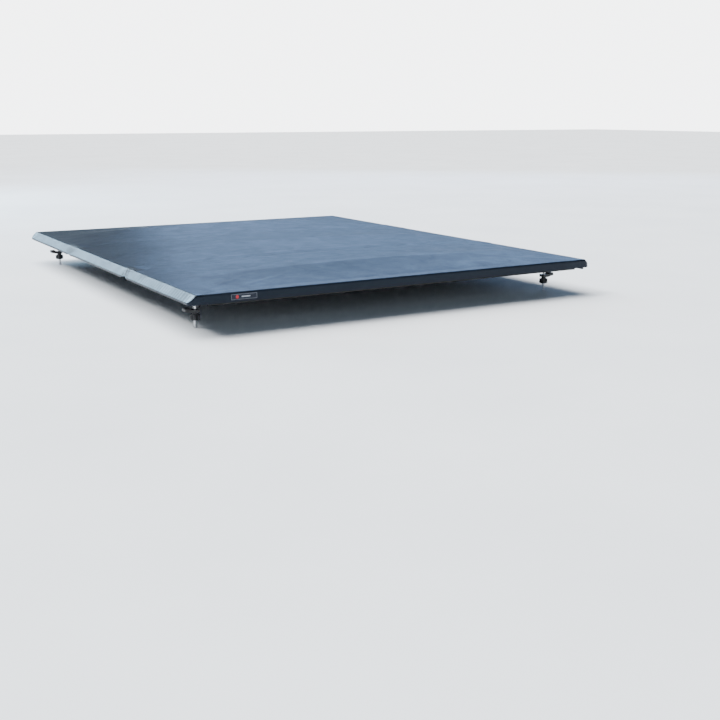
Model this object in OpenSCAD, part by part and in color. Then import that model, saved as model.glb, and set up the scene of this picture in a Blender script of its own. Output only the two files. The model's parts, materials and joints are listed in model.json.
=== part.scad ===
// Soft tri-fold tonneau cover for a pickup bed, in millimetres.
// X runs across the bed, +Y towards the cab, +Z up. The origin is the middle of the cover's plan,
// on the plane of the bed rails that the side seals rest on.

/* [Cover] */
// Overall width across the side hems
cover_w = 1650; // [1560:1:1760]
// Overall length from the tailgate face to the bulkhead face
cover_l = 2006; // [1990:1:2060]
// Height of the cover's top edge above the bed rails
edge_h = 38; // [36:1:42]
// Width and height of the bevel along each side
bevel = 25; // [22:1:26]
// Radius of the cover's four corners, seen from above
corner_r = 24; // [18:1:24]
// Height of the hem's lower edge above the bed rails
hem_z = 6; // [4:1:7]
// Thickness of the vinyl
vinyl_t = 1.5; // [1:0.1:2]

/* [Crown] */
// How far each bow's top stands above the top edge
bow_crown = 27; // [27:1:28]
// How far each fold rail's top stands above the top edge
fold_crown = 18; // [14:1:20]
// Crown of the vinyl strip over the front fold, which hangs slack
slack_crown = 13; // [8:1:14]

/* [Folds] */
// Length of the rear panel, from the tailgate face to its hinge pins
rear_len = 600; // [590:1:602]
// Length of the middle panel between its two rows of hinge pins
middle_len = 622; // [620:1:628]
// Distance between the two rows of pins at the rear fold
rear_gap = 66; // [66:1:72]
// Distance between the two rows of pins at the front fold
front_gap = 138; // [136:1:146]
// Height of the hinge pins above the bed rails
pivot_z = 34; // [33:0.5:35]
// Radius of the hinge pins and clamp pins
pin_r = 4; // [3.5:0.1:4.5]
// Gap between a pin and the part that turns on it
pin_fit = 0.06; // [0.02:0.01:0.1]

/* [Frame] */
// Width of a side rail
rail_w = 66; // [60:1:70]
// Width of the tailgate and bulkhead headers
header_w = 48; // [40:1:60]
// Wall of the rails and headers
wall = 2.2; // [1.8:0.1:3]
// Width of a bow's tube
bow_w = 25; // [20:1:30]
// Height of a bow's tube
bow_h = 14; // [10:1:16]
// Width of a fold rail's tube
fold_rail_w = 32; // [24:1:33]
// Height of a fold rail's tube
fold_rail_h = 18; // [14:1:20]
// Height of the rubber seals
seal_h = 8; // [8:1:8]

/* [Clamps] */
// Distance of a clamp from the nearer end of the cover
clamp_inset = 170; // [150:1:185]
// Height of the clamp pin above the bed rails
clamp_pin_z = 18; // [17:1:19]
// Depth of the bed rail flange that the jaw grips
grip_depth = 32; // [26:1:36]
// How far the jaw reaches out from its bolt
jaw_reach = 38; // [30:1:39]
// Radius of the clamp bolt
bolt_r = 5; // [4:0.5:6]
// Length of the clamp bolt below its pin
bolt_len = 112; // [110:1:120]
// Height of the star knob
knob_h = 25; // [20:1:26]

/* [Hidden] */
$fn = 48;

fit = 0.3;                        // gap between the vinyl and the frame, and in the sockets
half_w = cover_w / 2;
half_l = cover_l / 2;
half_top = half_w - bevel;        // half the width of the top, between the bevels
lip_z = edge_h - bevel;           // where the bevel meets the upright lip of the hem
deck_z = edge_h - vinyl_t - fit;  // top of the frame
skirt = vinyl_t + fit;            // from the outside of the vinyl to the frame
inner_x = half_w - rail_w;         // inner face of a side rail
arc_fn = 1800;                    // fine enough for the very large radius of the bows

// Hinge pin rows, from the tailgate to the cab
rear_pin_y = -half_l + rear_len;
middle_rear_y = rear_pin_y + rear_gap;
middle_front_y = middle_rear_y + middle_len;
front_pin_y = middle_front_y + front_gap;

// Bows
rear_bow_y = (rear_pin_y - half_l) / 2;
middle_bow_y = (middle_rear_y + middle_front_y) / 2;
front_bow_y = (front_pin_y + half_l) / 2;
bow_end_x = inner_x - 5;

// A panel's fold end, measured back from its hinge pins
setback = 12;                     // pins to the end of the casting, rail and vinyl
fold_in = 24;                     // pins to a fold's strip, which the turning panels must miss
casting_l = 38;
tongue_l = 25;
fold_rail_in = 14;                // pins to the near face of the fold rail
corner_l = 60;                    // length of a corner casting
rail_back = setback + casting_l;  // pins to the end of a side rail

// Hinges
eye_r = 6;
link_x = inner_x + 18;            // middle of a link across the cover
link_t = 9;
ear_t = 8;
ear_gap = 0.5;

// Screws
screw_r = 2.5;
screw_hole_r = 2.6;
head_r = 4.2;
head_h = 2.4;
rail_screw_x = inner_x + 11;
seal_x = inner_x + 31;

// Clamps
clamp_x = inner_x - 19;
clamp_eye_r = 8;
clamp_eye_t = 12;
pad_t = 4;
jaw_top = -clamp_pin_z - grip_depth - pad_t;  // the jaw's upper face, below the clamp pin
jaw_t = 12;
jaw_w = 28;
knob_top = jaw_top - jaw_t - 0.5;
plate_w = 54;
plate_t = 5;
ear_w = 5;
ear_in = clamp_eye_t / 2 + 0.5;   // inner face of an ear

// ---------------------------------------------------------------- helpers

// The children and their mirror image on the other side of the cover
module both_sides() {
    children();
    mirror([1, 0, 0]) children();
}

// Right side as drawn for side 1, left side for side -1
module on_side(side) {
    if (side > 0) children();
    else mirror([1, 0, 0]) children();
}

// Extrudes a section drawn in X and Z from y0 to y1
module along_y(y0, y1) {
    translate([0, y1, 0]) rotate([90, 0, 0]) linear_extrude(y1 - y0) children();
}

// Extrudes a section drawn in Y and Z from x0 to x1
module along_x(x0, x1) {
    translate([x0, 0, 0]) rotate([90, 0, 90]) linear_extrude(x1 - x0) children();
}

// A round bar along X
module bar_x(r, x0, x1) {
    translate([x0, 0, 0]) rotate([0, 90, 0]) cylinder(r = r, h = x1 - x0);
}

// A round bar along Y, centred
module bar_y(r, length) {
    rotate([90, 0, 0]) cylinder(r = r, h = length, center = true);
}

// An arched bar of rectangular section whose top rises by crown in the middle
module arch(crown, half_span, width, height, y, inset = 0) {
    radius = (half_top * half_top + crown * crown) / (2 * crown);
    angle = asin(half_span / radius);
    translate([0, y, deck_z + crown - radius])
        rotate([90, 0, 0])
            rotate([0, 0, 90 - angle])
                rotate_extrude(angle = 2 * angle, $fn = arc_fn)
                    translate([radius - height + inset, -width / 2 + inset])
                        square([height - 2 * inset, width - 2 * inset]);
}

module arched_tube(crown, half_span, width, height, y, tube_wall) {
    difference() {
        arch(crown, half_span, width, height, y);
        arch(crown, half_span + 5, width, height, y, tube_wall);
    }
}

// Section of the right side rail, seen along Y, moved in by inset from its outside
module rail_section(inset = 0) {
    outer = half_w - skirt - inset;
    slope = half_top + edge_h - skirt * sqrt(2) - inset * sqrt(2);
    top = deck_z - inset;
    bottom = seal_h + inset;
    polygon([
        [inner_x + inset, bottom], [outer, bottom], [outer, slope - outer],
        [slope - top, top], [inner_x + inset, top]
    ]);
}

// Section of a header, from its outer face inwards along +Y
module header_section(inset = 0) {
    translate([inset, seal_h + inset])
        square([header_w - 2 * inset, deck_z - seal_h - 2 * inset]);
}

// Hollow rubber seal with a flat foot on the bed rail
module bulb_section() {
    bulb_r = 4;
    bulb_z = 3.4;
    difference() {
        union() {
            intersection() {
                translate([0, bulb_z]) circle(r = bulb_r);
                translate([-bulb_r, 0]) square([2 * bulb_r, seal_h]);
            }
            translate([-11, seal_h - 1.8]) square([22, 1.8]);
        }
        translate([0, bulb_z]) circle(r = 2.4);
    }
}

// A pan-head screw, head below and shank up
module screw(length) {
    translate([0, 0, -head_h]) cylinder(r = head_r, h = head_h);
    cylinder(r = screw_r, h = length);
}

module screw_hole(length) {
    translate([0, 0, -1]) cylinder(r = screw_hole_r, h = length + 1);
}

// ---------------------------------------------------------------- vinyl

arc_steps = 20;

function rise(x, crown) =
    let (radius = (half_top * half_top + crown * crown) / (2 * max(crown, 0.001)))
    crown < 0.01 ? 0 : sqrt(radius * radius - x * x) - (radius - crown);

// The crowned top of a section, from left to right, moved down by drop and in by pull
function top_points(crown, drop, pull) = [
    for (i = [0 : arc_steps])
        let (x = (2 * i / arc_steps - 1) * (half_top - pull))
        [x, edge_h - drop + rise(x, crown)]
];

// One side of the skin at a station: the crowned top with the bevelled sides down to the hem
function skin_points(crown, t) =
    let (pull = t * tan(22.5), side = half_w - t, lip = lip_z - pull)
    concat([[-side, hem_z], [-side, lip]], top_points(crown, t, pull), [[side, lip], [side, hem_z]]);

// A sheet through stations [y, crown], with bevelled sides or only the top
module sheet_solid(stations, flaps) {
    outer = [for (s = stations) flaps ? skin_points(s[1], 0) : top_points(s[1], 0, 40)];
    inner = [for (s = stations) flaps ? skin_points(s[1], vinyl_t) : top_points(s[1], vinyl_t, 40)];
    rows = len(stations);
    n = len(outer[0]);
    points = [
        for (side = [outer, inner], j = [0 : rows - 1], p = side[j]) [p[0], stations[j][0], p[1]]
    ];
    low = rows * n;
    faces = concat(
        [for (j = [0 : rows - 2], i = [0 : n - 2])
            [j * n + i, (j + 1) * n + i, (j + 1) * n + i + 1, j * n + i + 1]],
        [for (j = [0 : rows - 2], i = [0 : n - 2])
            [low + j * n + i, low + j * n + i + 1, low + (j + 1) * n + i + 1, low + (j + 1) * n + i]],
        [for (j = [0 : rows - 2])
            [j * n, low + j * n, low + (j + 1) * n, (j + 1) * n]],
        [for (j = [0 : rows - 2])
            [j * n + n - 1, (j + 1) * n + n - 1, low + (j + 1) * n + n - 1, low + j * n + n - 1]],
        [for (i = [0 : n - 2]) [i, i + 1, low + i + 1, low + i]],
        [for (i = [0 : n - 2], k = (rows - 1) * n)
            [k + i + 1, k + i, low + k + i, low + k + i + 1]]
    );
    polyhedron(points, faces, convexity = 6);
}

// The outline of the flat cover's ends, filled in
module end_outline() {
    polygon([
        [-half_w, hem_z], [half_w, hem_z], [half_w, lip_z],
        [half_top, edge_h], [-half_top, edge_h], [-half_w, lip_z]
    ]);
}

// The upright flap of vinyl over the tailgate header's outer face
module end_flap() {
    along_y(-half_l, -half_l + vinyl_t) end_outline();
}

// What a rounded corner takes off whatever fills the right tailgate corner as far as x0 and y0
module corner_cut(x0, y0, r) {
    difference() {
        translate([x0 - r, y0 - 1, -1]) cube([r + 1, r + 1, edge_h + 2]);
        translate([x0 - r, y0 + r, -2]) cylinder(r = r, h = edge_h + 4);
    }
}

// The vinyl drawn round the right tailgate corner
module corner_wall() {
    intersection() {
        translate([half_w - corner_r, -half_l + corner_r, 0])
            difference() {
                cylinder(r = corner_r, h = edge_h);
                translate([0, 0, -1]) cylinder(r = corner_r - vinyl_t, h = edge_h + 2);
            }
        translate([half_w - corner_r, -half_l - 1, 0]) cube([corner_r + 1, corner_r + 1, edge_h]);
        along_y(-half_l - 1, -half_l + corner_r + 1) end_outline();
    }
}

// An end panel's skin, drawn for the tailgate end, with its two corners rounded
module rounded_corners() {
    difference() {
        children();
        both_sides() corner_cut(half_w, -half_l, corner_r);
    }
    both_sides() corner_wall();
}

bow_flat = bow_w / 2 + 2;            // the vinyl lies flat on a bow over this half width
rail_flat = fold_rail_in + fold_rail_w + 2;

module rear_skin() {
    color([0.11, 0.12, 0.14])
        rounded_corners() {
            sheet_solid([
                [-half_l, 0], [-half_l + header_w + 4, 0],
                [rear_bow_y - bow_flat, bow_crown], [rear_bow_y + bow_flat, bow_crown],
                [rear_pin_y - rail_flat, fold_crown], [rear_pin_y - setback, fold_crown]
            ], true);
            end_flap();
        }
}

module middle_skin() {
    color([0.11, 0.12, 0.14])
        sheet_solid([
            [middle_rear_y + setback, fold_crown], [middle_rear_y + rail_flat, fold_crown],
            [middle_bow_y - bow_flat, bow_crown], [middle_bow_y + bow_flat, bow_crown],
            [middle_front_y - rail_flat, fold_crown], [middle_front_y - setback, fold_crown]
        ], true);
}

module front_skin() {
    color([0.11, 0.12, 0.14])
        mirror([0, 1, 0]) rounded_corners() {
            sheet_solid([
                [-half_l, 0], [-half_l + header_w + 4, 0],
                [-front_bow_y - bow_flat, bow_crown], [-front_bow_y + bow_flat, bow_crown],
                [-front_pin_y - rail_flat, fold_crown], [-front_pin_y - setback, fold_crown]
            ], true);
            end_flap();
        }
}

module fold_vinyl(y0, y1, crown) {
    color([0.13, 0.14, 0.16])
        sheet_solid([[y0 + fold_in, crown], [y1 - fold_in, crown]], false);
}

// ---------------------------------------------------------------- frame

// Where the vertical screws of a rail's two ends stand
function rail_screws(y0, y1) = [y0 + tongue_l / 2, y1 - tongue_l / 2];

// Horizontal screws in a rail's inner wall: the bow bracket's and, where there is one, the clamp's
bracket_screw_dy = 27;
bracket_screw_z = 24;
clamp_screw_dy = 21;
clamp_screw_z = 22;

function wall_screws(bow_y, clamp_y) = concat(
    [for (s = [-1, 1]) [bow_y + s * bracket_screw_dy, bracket_screw_z]],
    clamp_y == 0 ? [] : [for (s = [-1, 1]) [clamp_y + s * clamp_screw_dy, clamp_screw_z]]
);

// The right side rail from y0 to y1
module side_rail(y0, y1, bow_y, clamp_y = 0) {
    color([0.16, 0.17, 0.18])
        difference() {
            along_y(y0, y1) rail_section();
            along_y(y0 - 1, y1 + 1) rail_section(wall);
            for (y = rail_screws(y0, y1))
                translate([rail_screw_x, y, seal_h]) screw_hole(wall + 1);
            for (p = wall_screws(bow_y, clamp_y))
                translate([0, p[0], p[1]]) bar_x(screw_hole_r, inner_x - 1, inner_x + wall + 1);
        }
}

// A straight header whose outer face is at y0, drawn for the tailgate end
header_screw_y = header_w - 14;

module header() {
    color([0.16, 0.17, 0.18])
        translate([0, -half_l + skirt, 0])
            difference() {
                along_x(-inner_x, inner_x) header_section();
                along_x(-inner_x - 1, inner_x + 1) header_section(wall);
                both_sides()
                    translate([inner_x - tongue_l / 2, header_screw_y, seal_h])
                        screw_hole(wall + 1);
            }
}

module fold_rail(y_pin, inward) {
    color([0.16, 0.17, 0.18])
        arched_tube(fold_crown, inner_x + 15, fold_rail_w, fold_rail_h,
            y_pin + inward * (fold_rail_in + fold_rail_w / 2), 1.8);
}

module bow(y) {
    color([0.66, 0.68, 0.70]) arched_tube(bow_crown, bow_end_x, bow_w, bow_h, y, 1.6);
}

// Saddle that carries one end of a bow, screwed to the side rail's inner wall
module bow_bracket(y) {
    difference() {
        union() {
            translate([inner_x - 4, y - 34, seal_h + 4]) cube([4, 68, 24]);
            translate([inner_x - 24, y - bow_w / 2 - 5, seal_h + 8])
                cube([24, bow_w + 10, deck_z + 2 - seal_h - 8]);
        }
        arch(bow_crown, bow_end_x + 0.6, bow_w + 2 * fit, bow_h + 2 * fit, y);
        translate([inner_x - 30, y - bow_w / 2 - fit, deck_z - 4])
            cube([25 + fit * 4, bow_w + 2 * fit, 20]);
        for (s = [-1, 1])
            translate([0, y + s * bracket_screw_dy, bracket_screw_z])
                bar_x(screw_hole_r, inner_x - 5, inner_x + 1);
    }
}

module bow_brackets(y) {
    color([0.09, 0.09, 0.10]) both_sides() bow_bracket(y);
}

// Corner casting, drawn for the right tailgate corner
module corner_casting() {
    y0 = -half_l + skirt;
    difference() {
        union() {
            along_y(y0, y0 + corner_l) rail_section();
            along_y(y0 + corner_l - 1, y0 + corner_l + tongue_l) rail_section(wall + fit);
            translate([0, y0, 0])
                along_x(inner_x - tongue_l, inner_x + 1) header_section(wall + fit);
        }
        translate([rail_screw_x, y0 + corner_l + tongue_l / 2, seal_h + wall]) screw_hole(12);
        translate([inner_x - tongue_l / 2, y0 + header_screw_y, seal_h + wall]) screw_hole(12);
        corner_cut(half_w - skirt, y0, corner_r - skirt);
        // weight saving pocket, open underneath
        translate([inner_x + 14, y0 + 12, seal_h - 1]) cube([26, corner_l - 24, 18]);
    }
}

module corners() {
    color([0.09, 0.09, 0.10]) both_sides() corner_casting();
}

// Hinge casting at a fold end, drawn for the right side with the panel towards -Y of the pins at y = 0
module hinge_casting() {
    difference() {
        union() {
            along_y(-rail_back, -setback) rail_section();
            along_y(-rail_back - tongue_l, -rail_back + 1) rail_section(wall + fit);
            for (x = [link_x - link_t / 2 - ear_gap - ear_t, link_x + link_t / 2 + ear_gap]) {
                translate([x, -setback - 1, pivot_z - eye_r]) cube([ear_t, setback + 1, eye_r * 2 - 4]);
                translate([0, 0, pivot_z]) bar_x(eye_r, x, x + ear_t);
            }
        }
        // socket for the fold rail's end
        arch(fold_crown, inner_x + 15.6, fold_rail_w + 2 * fit, fold_rail_h + 2 * fit,
            -fold_rail_in - fold_rail_w / 2);
        translate([inner_x - 1, -fold_rail_in - fold_rail_w - fit, deck_z - 6])
            cube([16.6, fold_rail_w + 2 * fit, 20]);
        translate([0, 0, pivot_z]) bar_x(pin_r + 0.02, inner_x, half_w);
        translate([rail_screw_x, -rail_back - tongue_l / 2, seal_h + wall]) screw_hole(12);
    }
}

// The pair of hinge castings at the pins at y_pin; inward is the way to the panel
module hinges(y_pin, inward) {
    color([0.09, 0.09, 0.10])
        both_sides()
            translate([0, y_pin, 0])
                if (inward < 0) hinge_casting();
                else mirror([0, 1, 0]) hinge_casting();
}

module hinge_pins(y_pin) {
    end_x = link_x + link_t / 2 + ear_gap + ear_t;
    start_x = link_x - link_t / 2 - ear_gap - ear_t;
    both_sides()
        translate([0, y_pin, pivot_z]) {
            bar_x(pin_r, start_x - 0.5, end_x + 1.5);
            bar_x(pin_r + 1.5, start_x - 2.5, start_x);
        }
}

// One link between the pins at y0 and y1
module fold_link(y0, y1) {
    x0 = link_x - link_t / 2;
    difference() {
        union() {
            translate([x0, y0, pivot_z - 8]) cube([link_t, y1 - y0, 10]);
            for (y = [y0, y1])
                translate([0, y, pivot_z]) bar_x(eye_r, x0, x0 + link_t);
        }
        for (y = [y0, y1])
            translate([0, y, pivot_z]) bar_x(pin_r + pin_fit, x0 - 1, x0 + link_t + 1);
        translate([x0 - 1, y0 - eye_r - 1, pivot_z - 9]) cube([link_t + 2, eye_r + 1, 3]);
        translate([x0 - 1, y1, pivot_z - 9]) cube([link_t + 2, eye_r + 1, 3]);
    }
}

module fold_links(y0, y1) {
    color([0.30, 0.31, 0.33]) both_sides() fold_link(y0, y1);
}

// ---------------------------------------------------------------- seals, tag and screws

module side_seals(y0, y1) {
    color([0.05, 0.05, 0.05])
        both_sides() along_y(y0, y1) translate([seal_x, 0]) bulb_section();
}

// Seal across one end of the cover; side is -1 at the tailgate and 1 at the bulkhead
module end_seal(side) {
    color([0.05, 0.05, 0.05])
        translate([0, side * (half_l - skirt - 13), 0])
            along_x(-inner_x + 2, inner_x - 2) bulb_section();
}

module tag() {
    color([0.80, 0.80, 0.82])
        translate([-half_top + 115, -half_l - 0.9, edge_h - 26]) cube([92, 0.8, 20]);
}

module rail_end_screws(y0, y1) {
    both_sides()
        for (y = rail_screws(y0, y1))
            translate([rail_screw_x, y, seal_h]) screw(wall + fit + 8);
}

// Screws through a bracket plate of the given thickness into the rail's inner wall
module plate_screws(y, dy, z, plate) {
    both_sides()
        for (s = [-1, 1])
            translate([inner_x - plate, y + s * dy, z]) rotate([0, 90, 0]) screw(plate + wall + 5);
}

module panel_screws(y0, y1, bow_y, clamp_y = 0, header_side = 0) {
    color([0.62, 0.63, 0.65]) {
        rail_end_screws(y0, y1);
        plate_screws(bow_y, bracket_screw_dy, bracket_screw_z, 4);
        if (clamp_y != 0) plate_screws(clamp_y, clamp_screw_dy, clamp_screw_z, plate_t);
        if (header_side != 0)
            both_sides()
                translate([inner_x - tongue_l / 2,
                    header_side * (half_l - skirt - header_screw_y), seal_h])
                    screw(wall + fit + 8);
    }
}

// ---------------------------------------------------------------- clamps

rear_clamp_y = -half_l + clamp_inset;
front_clamp_y = half_l - clamp_inset;

// Moves a right-hand clamp piece, drawn about its pin, to its place
module at_clamp(side, y) {
    on_side(side) translate([clamp_x, y, clamp_pin_z]) children();
}

// Bracket on the side rail, with two ears for the pin
module clamp_bracket() {
    to_rail = inner_x - clamp_x;
    difference() {
        union() {
            translate([to_rail - plate_t, -plate_w / 2, -9]) cube([plate_t, plate_w, 26]);
            for (y = [-ear_w - ear_in, ear_in]) {
                translate([0, y, -7]) cube([to_rail - plate_t + 1, ear_w, 15]);
                translate([0, y + ear_w / 2, 0]) bar_y(8, ear_w);
            }
        }
        bar_y(pin_r + 0.02, 40);
        for (s = [-1, 1])
            translate([0, s * clamp_screw_dy, clamp_screw_z - clamp_pin_z])
                bar_x(screw_hole_r, to_rail - plate_t - 1, to_rail + 1);
    }
}

module clamp_brackets(y) {
    color([0.14, 0.14, 0.15]) both_sides() translate([clamp_x, y, clamp_pin_z]) clamp_bracket();
}

module clamp_pin() {
    bar_y(pin_r, 2 * (ear_w + ear_in) + 2);
    translate([0, ear_w + ear_in + 1, 0]) bar_y(pin_r + 1.5, 2);
}

module clamp_pins(y) {
    both_sides() translate([clamp_x, y, clamp_pin_z]) clamp_pin();
}

// Eye bolt with an end stop that keeps the knob on
module clamp_bolt() {
    difference() {
        union() {
            bar_y(clamp_eye_r, clamp_eye_t);
            translate([0, 0, -bolt_len]) cylinder(r = bolt_r, h = bolt_len - clamp_eye_r + 2);
            translate([0, 0, -bolt_len - 4]) cylinder(r = bolt_r + 2, h = 4);
        }
        bar_y(pin_r + pin_fit, clamp_eye_t + 2);
    }
}

// Jaw that slides on the bolt and reaches out under the bed rail's flange
module clamp_jaw() {
    low = jaw_top - jaw_t;
    difference() {
        translate([0, jaw_w / 2, 0]) rotate([90, 0, 0]) linear_extrude(jaw_w)
            polygon([
                [-11, low], [10, low], [jaw_reach, jaw_top - 6], [jaw_reach, jaw_top],
                [jaw_reach - 19, jaw_top], [jaw_reach - 22, jaw_top - 2], [-11, jaw_top - 2]
            ]);
        translate([0, 0, low - 1]) cylinder(r = bolt_r + pin_fit, h = jaw_t + 2);
    }
}

module clamp_pad() {
    translate([jaw_reach - 18, -jaw_w / 2 + 1, jaw_top]) cube([18, jaw_w - 2, pad_t]);
}

// Five-lobed hand knob
module clamp_knob() {
    lobes = 5;
    difference() {
        union() {
            translate([0, 0, knob_top - knob_h]) cylinder(r = 12.5, h = knob_h - 5);
            translate([0, 0, knob_top - 7]) cylinder(r = 9, h = 7);
            for (i = [0 : lobes - 1])
                rotate([0, 0, 360 * i / lobes])
                    translate([11.5, 0, knob_top - knob_h + 2]) cylinder(r = 5.5, h = knob_h - 9);
        }
        translate([0, 0, knob_top - knob_h - 1]) cylinder(r = bolt_r + pin_fit, h = knob_h + 2);
    }
}

// ---------------------------------------------------------------- front panel

rail_front_y0 = front_pin_y + rail_back;
rail_front_y1 = half_l - skirt - corner_l;
rail_rear_y0 = -half_l + skirt + corner_l;
rail_rear_y1 = rear_pin_y - rail_back;
rail_middle_y0 = middle_rear_y + rail_back;
rail_middle_y1 = middle_front_y - rail_back;
seal_end = 2;                     // the seals stop this far inside a panel's end

module front_rail(side) { on_side(side) side_rail(rail_front_y0, rail_front_y1, front_bow_y, front_clamp_y); }
module middle_rail(side) { on_side(side) side_rail(rail_middle_y0, rail_middle_y1, middle_bow_y); }
module rear_rail(side) { on_side(side) side_rail(rail_rear_y0, rail_rear_y1, rear_bow_y, rear_clamp_y); }

module front_pins() {
    color([0.70, 0.71, 0.73]) {
        hinge_pins(front_pin_y);
        clamp_pins(front_clamp_y);
    }
}

module middle_pins() {
    color([0.70, 0.71, 0.73])
        for (y = [middle_rear_y, middle_front_y]) hinge_pins(y);
}

module rear_pins() {
    color([0.70, 0.71, 0.73]) {
        hinge_pins(rear_pin_y);
        clamp_pins(rear_clamp_y);
    }
}

module middle_hinges() {
    hinges(middle_rear_y, 1);
    hinges(middle_front_y, -1);
}

module bolt(side, y) { color([0.72, 0.73, 0.75]) at_clamp(side, y) clamp_bolt(); }
module jaw(side, y) { color([0.15, 0.15, 0.16]) at_clamp(side, y) clamp_jaw(); }
module pad(side, y) { color([0.05, 0.05, 0.05]) at_clamp(side, y) clamp_pad(); }
module knob(side, y) { color([0.08, 0.08, 0.08]) at_clamp(side, y) clamp_knob(); }

// ---------------------------------------------------------------- assembly

front_skin();
front_rail(-1);  // front_rail_left
front_rail(1);  // front_rail_right
mirror([0, 1, 0]) header();  // front_header
fold_rail(front_pin_y, 1);  // front_fold_rail
bow(front_bow_y);  // front_bow
bow_brackets(front_bow_y);  // front_bow_brackets
mirror([0, 1, 0]) corners();  // front_corners
hinges(front_pin_y, 1);  // front_hinges
front_pins();
panel_screws(rail_front_y0, rail_front_y1, front_bow_y, front_clamp_y, 1);  // front_screws
side_seals(front_pin_y + setback + seal_end, half_l - skirt - seal_end);  // front_side_seals
end_seal(1);  // bulkhead_seal
clamp_brackets(front_clamp_y);  // front_clamp_brackets
fold_links(middle_front_y, front_pin_y);  // front_fold_links
fold_vinyl(middle_front_y, front_pin_y, slack_crown);  // front_fold_vinyl

middle_skin();
middle_rail(-1);  // middle_rail_left
middle_rail(1);  // middle_rail_right
fold_rail(middle_rear_y, 1);  // middle_rear_fold_rail
fold_rail(middle_front_y, -1);  // middle_front_fold_rail
bow(middle_bow_y);  // middle_bow
bow_brackets(middle_bow_y);  // middle_bow_brackets
middle_hinges();
middle_pins();
panel_screws(rail_middle_y0, rail_middle_y1, middle_bow_y);  // middle_screws
side_seals(middle_rear_y + setback + seal_end, middle_front_y - setback - seal_end);  // middle_side_seals

fold_links(rear_pin_y, middle_rear_y);  // rear_fold_links
fold_vinyl(rear_pin_y, middle_rear_y, fold_crown);  // rear_fold_vinyl

rear_skin();
rear_rail(-1);  // rear_rail_left
rear_rail(1);  // rear_rail_right
header();  // rear_header
fold_rail(rear_pin_y, -1);  // rear_fold_rail
bow(rear_bow_y);  // rear_bow
bow_brackets(rear_bow_y);  // rear_bow_brackets
corners();  // rear_corners
hinges(rear_pin_y, -1);  // rear_hinges
rear_pins();
panel_screws(rail_rear_y0, rail_rear_y1, rear_bow_y, rear_clamp_y, -1);  // rear_screws
side_seals(-half_l + skirt + seal_end, rear_pin_y - setback - seal_end);  // rear_side_seals
end_seal(-1);  // tailgate_seal
tag();
clamp_brackets(rear_clamp_y);  // rear_clamp_brackets

bolt(-1, front_clamp_y);  // front_left_bolt
jaw(-1, front_clamp_y);  // front_left_jaw
pad(-1, front_clamp_y);  // front_left_pad
knob(-1, front_clamp_y);  // front_left_knob
bolt(1, front_clamp_y);  // front_right_bolt
jaw(1, front_clamp_y);  // front_right_jaw
pad(1, front_clamp_y);  // front_right_pad
knob(1, front_clamp_y);  // front_right_knob
bolt(-1, rear_clamp_y);  // rear_left_bolt
jaw(-1, rear_clamp_y);  // rear_left_jaw
pad(-1, rear_clamp_y);  // rear_left_pad
knob(-1, rear_clamp_y);  // rear_left_knob
bolt(1, rear_clamp_y);  // rear_right_bolt
jaw(1, rear_clamp_y);  // rear_right_jaw
pad(1, rear_clamp_y);  // rear_right_pad
knob(1, rear_clamp_y);  // rear_right_knob
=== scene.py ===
"""Soft folding tonneau cover: the vinyl, label, materials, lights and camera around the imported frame.

One vinyl surface is worked out over the whole cover, and then cut where the panels and the folds meet.
"""

import json
import math

import bpy
import numpy as np
from mathutils import Matrix, Vector


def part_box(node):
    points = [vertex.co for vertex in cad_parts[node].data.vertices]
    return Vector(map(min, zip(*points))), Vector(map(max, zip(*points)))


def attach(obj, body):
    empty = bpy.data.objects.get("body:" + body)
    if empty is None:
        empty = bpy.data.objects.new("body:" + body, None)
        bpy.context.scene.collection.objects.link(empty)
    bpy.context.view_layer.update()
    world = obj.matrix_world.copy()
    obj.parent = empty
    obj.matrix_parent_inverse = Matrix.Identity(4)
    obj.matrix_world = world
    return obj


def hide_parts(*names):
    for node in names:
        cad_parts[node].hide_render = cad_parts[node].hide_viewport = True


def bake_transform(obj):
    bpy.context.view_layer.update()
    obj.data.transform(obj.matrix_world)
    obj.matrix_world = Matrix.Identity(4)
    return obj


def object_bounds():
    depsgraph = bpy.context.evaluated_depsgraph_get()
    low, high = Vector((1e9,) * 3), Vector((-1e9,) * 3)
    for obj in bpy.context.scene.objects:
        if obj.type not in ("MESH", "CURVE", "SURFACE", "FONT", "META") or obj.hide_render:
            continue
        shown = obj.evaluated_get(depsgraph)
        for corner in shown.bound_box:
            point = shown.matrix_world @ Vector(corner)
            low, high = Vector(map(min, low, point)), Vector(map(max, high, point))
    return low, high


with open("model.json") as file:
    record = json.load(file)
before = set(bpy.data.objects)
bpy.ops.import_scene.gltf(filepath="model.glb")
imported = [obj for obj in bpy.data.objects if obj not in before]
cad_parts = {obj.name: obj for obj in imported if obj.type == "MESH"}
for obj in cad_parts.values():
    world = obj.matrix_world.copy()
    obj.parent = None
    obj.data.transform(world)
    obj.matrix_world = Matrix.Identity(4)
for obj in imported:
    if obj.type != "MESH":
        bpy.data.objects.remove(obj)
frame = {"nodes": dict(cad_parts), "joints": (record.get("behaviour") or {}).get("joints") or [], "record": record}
cad_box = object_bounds()
nodes = frame["nodes"]

# ---------------------------------------------------------------- sizes, in metres

HALF_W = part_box("middle_skin")[1].x
HALF_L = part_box("front_skin")[1].y
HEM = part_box("middle_skin")[0].z
EDGE = 0.038  # the top edge, above the bed rails
BEVEL = 0.025
LIP = EDGE - BEVEL
HALF_TOP = HALF_W - BEVEL
VINYL = 0.0012
BOW = 0.027  # the crown's height over the bows, then over the fold rails, then between them at each fold
RAIL = 0.018
REAR_DIP = 0.0135
FRONT_DIP = 0.0115

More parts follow.
